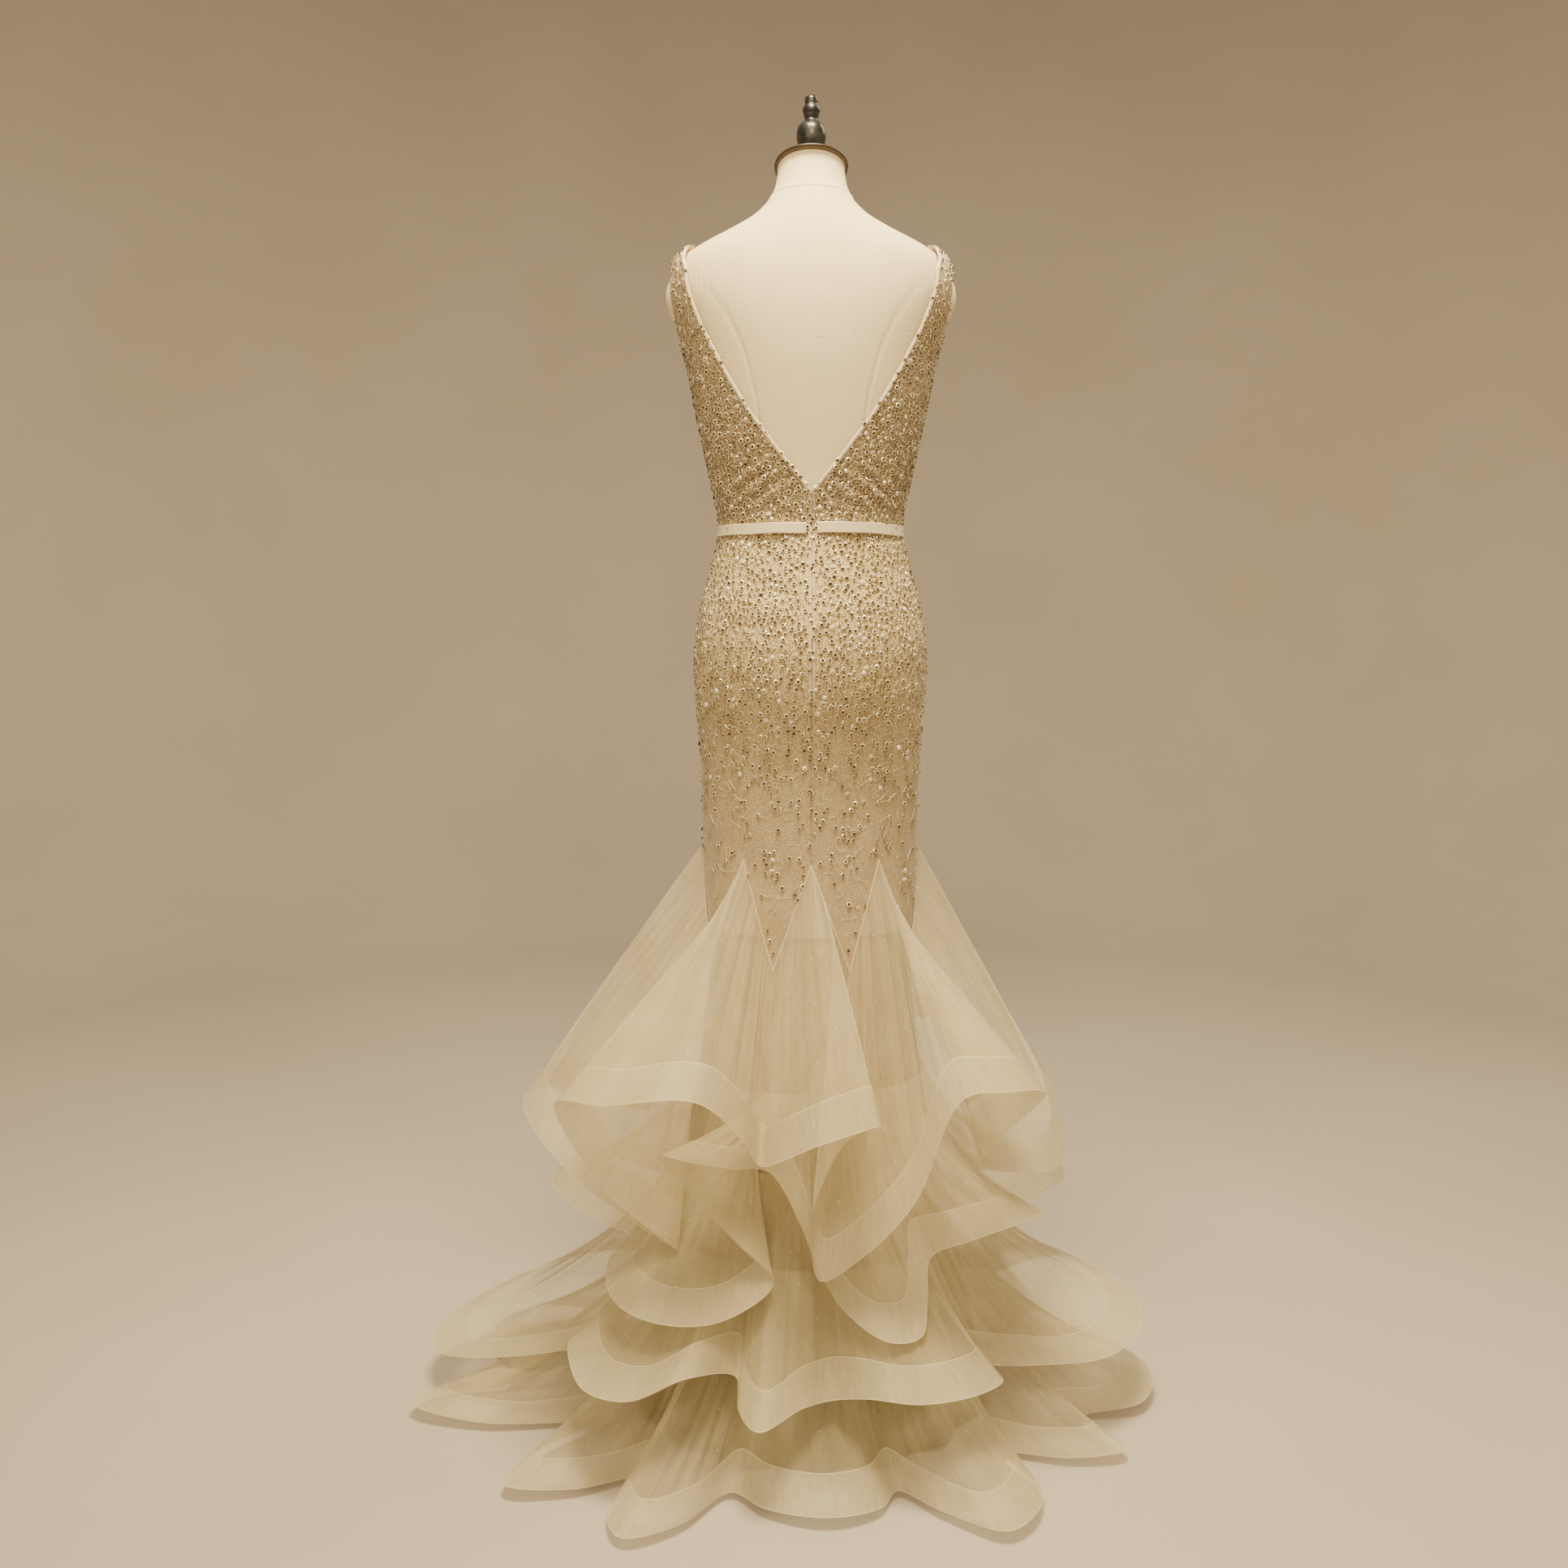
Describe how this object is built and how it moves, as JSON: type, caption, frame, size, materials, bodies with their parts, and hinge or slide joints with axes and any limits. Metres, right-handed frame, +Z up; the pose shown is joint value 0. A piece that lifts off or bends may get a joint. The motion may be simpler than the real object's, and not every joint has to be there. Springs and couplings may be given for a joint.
{
  "type": "evening gown on a dress form",
  "caption": "Sleeveless beaded mermaid evening gown with deep V back, ribbon belt, godets and braid-edged flounces, standing on a limbless dress form",
  "frame": {"origin": "centre of the stand base's underside, on the floor under the dress form's axis", "axes": "+Z up; the gown's front faces +Y and its back with the zip faces -Y; +X is the wearer's right"},
  "size_m": [1.0112, 0.7215, 1.732],
  "materials": {
    "beaded_tulle": "champagne tulle worked all over with small ring sequins and beads",
    "lining": "plain tan lining",
    "binding": "smooth cream satin",
    "belt_satin": "soft satin sheen",
    "zip_edge": "smooth folded satin edge",
    "zip_metal": "cream lacquer",
    "hook_wire": "plain wire",
    "underskirt_tulle": "matt layered tulle",
    "flounce_tulle": "sheer with a faint glitter",
    "horsehair_braid": "stiff mesh with a sheen",
    "form_linen": "plain woven linen",
    "cap_wood": "dark polished",
    "finial_lacquer": "black gloss lacquer",
    "stand_steel": "satin dark grey"
  },
  "bodies": {
    "gown_on_form": {"belt_ribbon": "belt_satin", "bodice_back_left": "beaded_tulle", "bodice_back_right": "beaded_tulle", "bodice_front": "beaded_tulle", "flounce_2_a": "flounce_tulle", "flounce_2_b": "flounce_tulle", "flounce_2_braid_a": "horsehair_braid", "flounce_2_braid_b": "horsehair_braid", "flounce_2_braid_c": "horsehair_braid", "flounce_2_braid_d": "horsehair_braid", "flounce_2_c": "flounce_tulle", "flounce_2_d": "flounce_tulle", "flounce_3_a": "flounce_tulle", "flounce_3_b": "flounce_tulle", "flounce_3_braid_a": "horsehair_braid", "flounce_3_braid_b": "horsehair_braid", "flounce_3_braid_c": "horsehair_braid", "flounce_3_c": "flounce_tulle", "flounce_4_a": "flounce_tulle", "flounce_4_b": "flounce_tulle", "flounce_4_braid_a": "horsehair_braid", "flounce_4_braid_b": "horsehair_braid", "flounce_4_braid_c": "horsehair_braid", "flounce_4_c": "flounce_tulle", "form_arm_plate_left": "form_linen", "form_arm_plate_right": "form_linen", "form_finial": "finial_lacquer", "form_neck": "form_linen", "form_neck_cap": "cap_wood", "form_torso": "form_linen", "godet_a": "flounce_tulle", "godet_b": "flounce_tulle", "godet_braid_a": "horsehair_braid", "godet_braid_b": "horsehair_braid", "godet_braid_c": "horsehair_braid", "godet_braid_d": "horsehair_braid", "godet_c": "flounce_tulle", "godet_d": "flounce_tulle", "godet_e": "flounce_tulle", "godet_f": "flounce_tulle", "godet_g": "flounce_tulle", "godet_h": "flounce_tulle", "neck_binding_left": "binding", "neck_binding_right": "binding", "skirt_back_left": "beaded_tulle", "skirt_back_right": "beaded_tulle", "skirt_front": "beaded_tulle", "skirt_lining": "lining", "stand_base": "stand_steel", "stand_pole": "stand_steel", "top_hook": "hook_wire", "tulle_underskirt": "underskirt_tulle", "zip_edge_left": "zip_edge", "zip_edge_right": "zip_edge", "zip_slider": "zip_metal"},
    "pull_tab": {"zip_pull_tab": "zip_metal"}
  },
  "joints": [
    {"name": "zip_tab", "type": "hinge", "parent": "gown_on_form", "child": "pull_tab", "pos_m": [0, -0.08873, 1.2147], "axis": [-1, 0, 0], "range_deg": [0, 150]}
  ]
}
